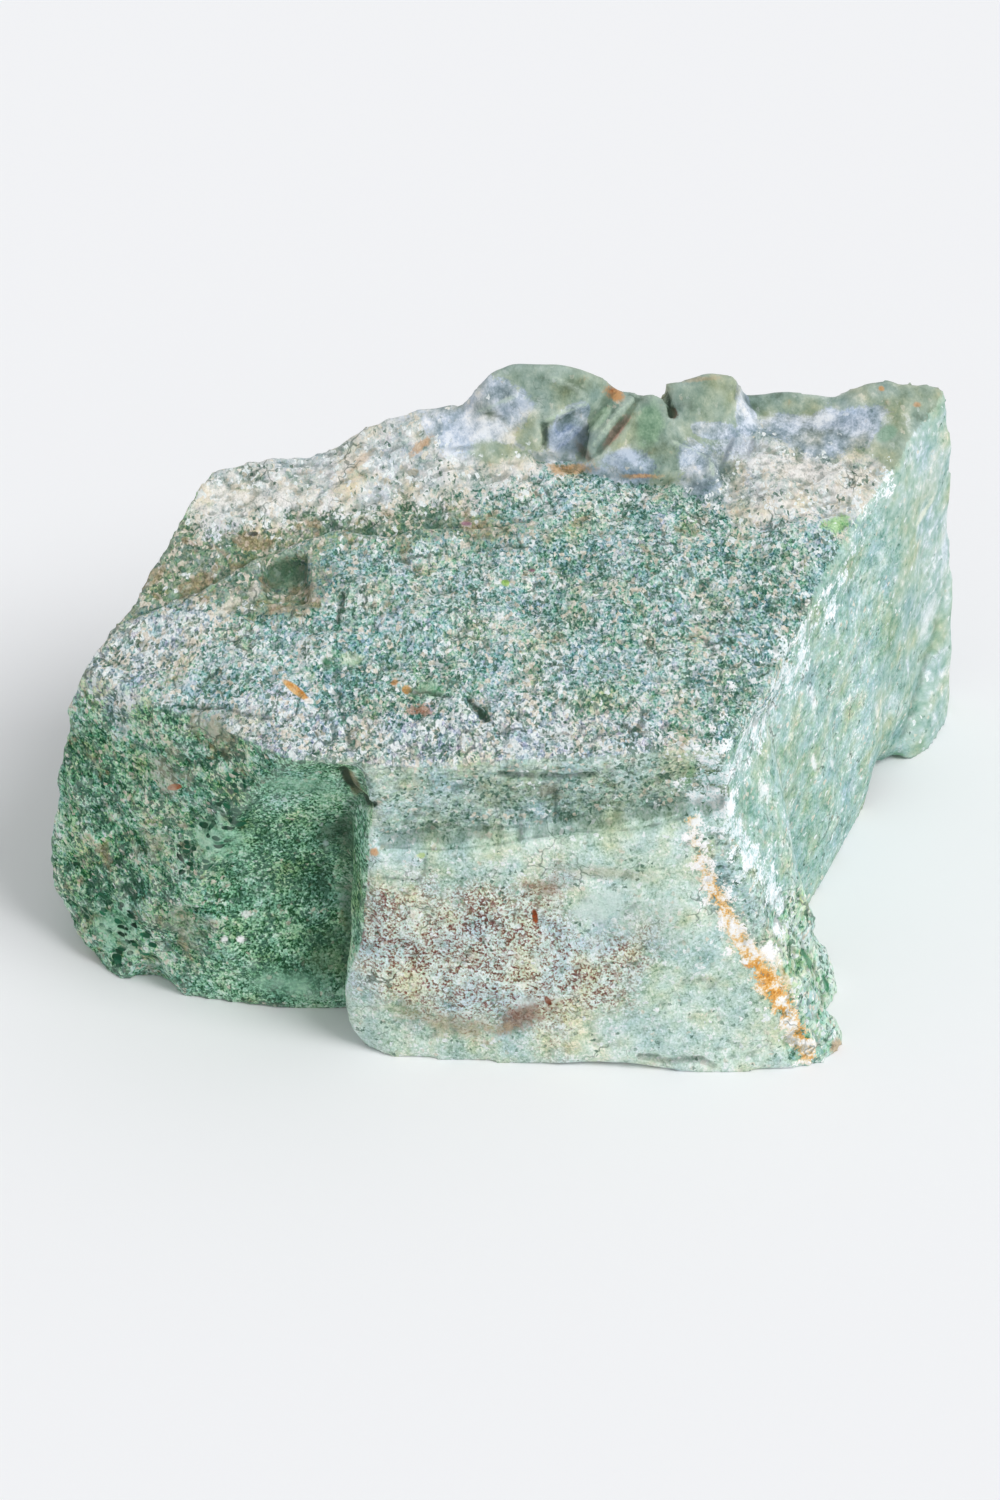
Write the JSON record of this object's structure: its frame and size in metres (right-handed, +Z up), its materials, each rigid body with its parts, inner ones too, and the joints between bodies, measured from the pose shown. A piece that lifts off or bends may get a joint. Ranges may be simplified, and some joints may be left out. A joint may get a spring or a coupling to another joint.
{
  "type": "raw zeolite stone",
  "caption": "Rough broken block of green zeolite rock, with a sloping granular top, a stepped pale front face, and a crown of glassy crystals at the back. It rests on its flat underside.",
  "frame": {"origin": "under the middle of the stone's box, at the level of the surface that it rests on", "axes": "+Z up, +X along the stone's long side towards its pointed right back corner, +Y from the pale front face to the back"},
  "size_m": [0.0858, 0.063, 0.0405],
  "materials": {
    "zeolite": "matt, rough broken green stone with dark grains, white veins and a few glassy facets"
  },
  "bodies": {
    "root": {"zeolite_stone": "zeolite"}
  },
  "joints": []
}
